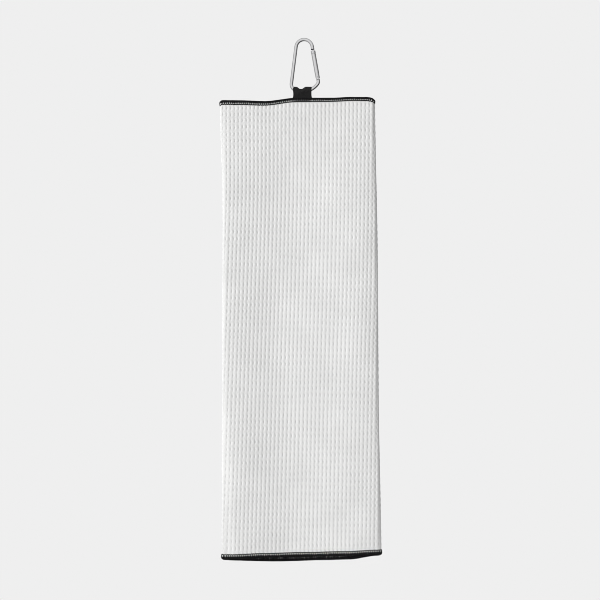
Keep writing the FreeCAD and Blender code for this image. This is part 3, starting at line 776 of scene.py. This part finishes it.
def metal_material(name, tone, rough, along_scale, painted_shade_rings=()):
    """Bright metal: fine drawn grain along one way, cloudy polish, and faint scuffs.

    The last argument lists (point, half) for rings of painted shade round the wire, square to the gate,
    where the wire's ends lie in shade. A ring reaches half to either side of its point.
    """
    material, tree, shader, where = new_material(name, Metallic=1.0)
    cloud = noise(tree, where, 160.0, 4.0)
    low = tuple(0.9 * value for value in tone)
    colour = ramp(tree, cloud, low, tone)
    # painted shade: each ring darkens the colour where the wire's ends lie in shadow
    for point, half in painted_shade_rings:
        dark = node(tree, "ShaderNodeMath", operation="MULTIPLY")
        tree.links.new(near_point(tree, where, point, 1.4 * WIRE_R, 1.6 * WIRE_R), dark.inputs[0])
        tree.links.new(near_plane(tree, where, point, GATE_UP, half, 1.4 * half), dark.inputs[1])
        mixed = node(tree, "ShaderNodeMixRGB", {"Color2": (*PAINTED_SHADE_COLOUR, 1)})
        tree.links.new(dark.outputs[0], mixed.inputs["Fac"])
        tree.links.new(colour, mixed.inputs["Color1"])
        colour = mixed.outputs["Color"]
    tree.links.new(colour, shader.inputs["Base Color"])
    grain = noise(tree, stretched(tree, where, along_scale), 1.0, 3.0, 0.6)
    scuff = noise(tree, where, 900.0, 5.0, 0.75)
    wear = node(tree, "ShaderNodeMath", operation="MULTIPLY")
    tree.links.new(grain, wear.inputs[0])
    tree.links.new(scuff, wear.inputs[1])
    tree.links.new(spread(tree, wear.outputs[0], rough, rough + 0.16, 0.15, 0.4), shader.inputs["Roughness"])
    bump(tree, shader, [(grain, 0.1, 0.00005), (scuff, 0.06, 0.00005)])
    return material


def finish_node(name, material):
    """Gives a node of the CAD its material."""
    item = frame["nodes"][name]
    for slot in item.material_slots:
        slot.material = material


# ---------------------------------------------------------------- making the pieces

cloth = cloth_material()
thread = thread_material()
tape_finish = tape_material()
# rings of painted shade at the nose end and at the sawn shoulder
rings = [
    (HINGE + GATE_UP * (NOSE_END + NOSE_RING), NOSE_RING),
    (HINGE + GATE_UP * SHOULDER, SHOULDER_RING)]
polished = metal_material("hook_metal", (0.86, 0.86, 0.87), 0.16, (2400.0, 2400.0, 240.0), rings)
drawn = metal_material("pin_steel", (0.66, 0.66, 0.67), 0.22, (3000.0, 300.0, 3000.0))


def dress(item, material, slot, *replaced):
    """Gives a piece its material and hides the nodes of the CAD that it stands for. slot is not used."""
    item.data.materials.append(material)
    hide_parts(*replaced)
    return item


towel = dress(waffle_cloth(), cloth, "waffle_cloth", "towel_cloth")
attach(towel, "towel")

sewing = []
# each edge, where its sewing starts and stops along it, and its name in the CAD
runs = [
    ("top", 0.0, SIDE, "top"),
    ("bottom", 0.0, SIDE, "bottom"),
    ("start", BOTTOM + END_GAP, TOP - END_GAP, "left"),
    ("end", BOTTOM + END_GAP, TOP - END_GAP, "right")]
for edge, low, high, label in runs:
    stitches = overlock(f"{label}_edge_stitches", edge, low, high)
    sewing.append(dress(stitches, thread, "edge_thread", f"{label}_edge_overlock"))
    line = needle_line(f"{label}_needle_line", edge, low, high)
    sewing.append(dress(line, thread, "edge_thread", f"{label}_needle_thread"))
sewing.append(dress(bartack(), thread, "edge_thread", "loop_bartack"))
for item in sewing:
    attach(item, "towel")

tape = dress(tape_loop(), tape_finish, "loop_tape", "hanging_loop")
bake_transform(tape)

for name in ("carabiner_body", "carabiner_gate"):
    finish_node(name, polished)
for name in ("gate_hinge_pin", "gate_latch_pin", "gate_plunger"):
    finish_node(name, drawn)
spring = dress(return_spring(), drawn, "pin_steel", "gate_spring")
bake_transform(spring)

# ---------------------------------------------------------------- stage, light and camera

FLOOR_DROP = 1.0           # how far the floor is below the hook
FLOOR_SIZE = 2.6           # its radius
FLOOR_SIDES = 96
FLOOR_SOLID = 0.3          # the floor is solid this far out, then fades into the backdrop

BACKDROP = 0.863           # brightness of what the camera sees behind the towel
ROOM_LIGHT = 0.6
# lighter and darker sides of the room: direction, cosine where it starts, cosine where it is full, gain
LOBES = [((-0.3, -0.9, 0.3), 0.3, 0.95, 0.4), ((0.78, 0.1, -0.6), 0.12, 0.82, -0.5)]

LAMP_AIM = (0, 0, -0.3)    # the middle of the towel
# name, place, size and power
LAMPS = [
    ("key", (-2.6, -1.75, 0.9), 1.6, 64),
    ("fill", (-0.7, -3.0, 0.9), 2.0, 6),
    ("back", (-2.3, 2.1, 0.9), 1.6, 50)]

CAMERA_FAR = 3.6           # from the camera to the front layer
CAMERA_X = -0.0046         # its place, level with the middle of the picture
CAMERA_Z = -0.2858
PICTURE_WIDTH = 0.6624     # how wide a view it has there
SENSOR = 36                # in mm, as Blender takes it


def floor():
    """A round of paper below the towel that fades out at its rim."""
    points = [(0, 0, -FLOOR_DROP)]
    for k in range(FLOOR_SIDES):
        turn = 2 * math.pi * k / FLOOR_SIDES
        points.append((FLOOR_SIZE * math.cos(turn), FLOOR_SIZE * math.sin(turn), -FLOOR_DROP))
    faces = [(0, 1 + k, 1 + (k + 1) % FLOOR_SIDES) for k in range(FLOOR_SIDES)]
    item = mesh_object("floor", points, faces, smooth=False)
    material, tree, shader, where = new_material("floor_paper", Specular_IOR_Level=0.1)
    mottle = noise(tree, where, 3.0, 3.0)
    tree.links.new(ramp(tree, mottle, (0.68, 0.68, 0.68), (0.7, 0.7, 0.7)), shader.inputs["Base Color"])
    tree.links.new(spread(tree, mottle, 0.85, 0.95), shader.inputs["Roughness"])
    fade = near_point(tree, where, (0, 0, -FLOOR_DROP), FLOOR_SOLID, 0.9 * FLOOR_SIZE)
    tree.links.new(fade, shader.inputs["Alpha"])
    item.data.materials.append(material)
    item.visible_glossy = False


def studio_world():
    """A pale backdrop that only the camera sees, and a room round it that lights the towel and hook."""
    world = bpy.data.worlds.new("studio")
    bpy.context.scene.world = world
    world.use_nodes = True
    tree = world.node_tree
    backdrop = tree.nodes["Background"]
    backdrop.inputs["Color"].default_value = (BACKDROP, BACKDROP, BACKDROP, 1)
    room = node(tree, "ShaderNodeBackground")
    where = node(tree, "ShaderNodeTexCoord").outputs["Generated"]
    total = None
    for direction, low, high, gain in LOBES:
        dot = node(tree, "ShaderNodeVectorMath", operation="DOT_PRODUCT")
        dot.inputs[1].default_value = Vector(direction).normalized()
        tree.links.new(where, dot.inputs[0])
        lobe = node(tree, "ShaderNodeMapRange", {"From Min": low, "From Max": high, "To Max": gain},
                    interpolation_type="SMOOTHSTEP")
        tree.links.new(dot.outputs["Value"], lobe.inputs["Value"])
        added = node(tree, "ShaderNodeMath", {1: ROOM_LIGHT}, operation="ADD")
        tree.links.new(lobe.outputs["Result"], added.inputs[0])
        if total is not None:
            tree.links.new(total, added.inputs[1])
        total = added.outputs[0]
    tree.links.new(total, room.inputs["Strength"])
    ray = node(tree, "ShaderNodeLightPath")
    mixed = node(tree, "ShaderNodeMixShader")
    tree.links.new(ray.outputs["Is Camera Ray"], mixed.inputs["Fac"])
    tree.links.new(room.outputs["Background"], mixed.inputs[1])
    tree.links.new(backdrop.outputs["Background"], mixed.inputs[2])
    tree.links.new(mixed.outputs["Shader"], tree.nodes["World Output"].inputs["Surface"])


def lamp(name, spot, size, power):
    """A round lamp that doesn't show in the hook's reflections."""
    data = bpy.data.lights.new(name, "AREA")
    data.shape = "DISK"
    data.size = size
    data.energy = power
    item = bpy.data.objects.new(name, data)
    item.location = spot
    item.rotation_euler = (Vector(LAMP_AIM) - Vector(spot)).to_track_quat("-Z", "Y").to_euler()
    item.visible_glossy = False
    bpy.context.scene.collection.objects.link(item)


def camera():
    """A long lens straight in front of the towel."""
    data = bpy.data.cameras.new("camera")
    data.sensor_width = SENSOR
    data.lens = SENSOR * CAMERA_FAR / PICTURE_WIDTH
    item = bpy.data.objects.new("camera", data)
    item.location = (CAMERA_X, FRONT_Y - CAMERA_FAR, CAMERA_Z)
    item.rotation_euler = (math.pi / 2, 0, 0)
    bpy.context.scene.collection.objects.link(item)
    bpy.context.scene.camera = item


floor()
studio_world()
for settings in LAMPS:
    lamp(*settings)
camera()
bpy.context.scene.view_settings.view_transform = "Standard"
# a narrower pixel filter than Blender's own, for a sharper picture
bpy.context.scene.cycles.filter_width = 0.9

bpy.context.view_layer.update()
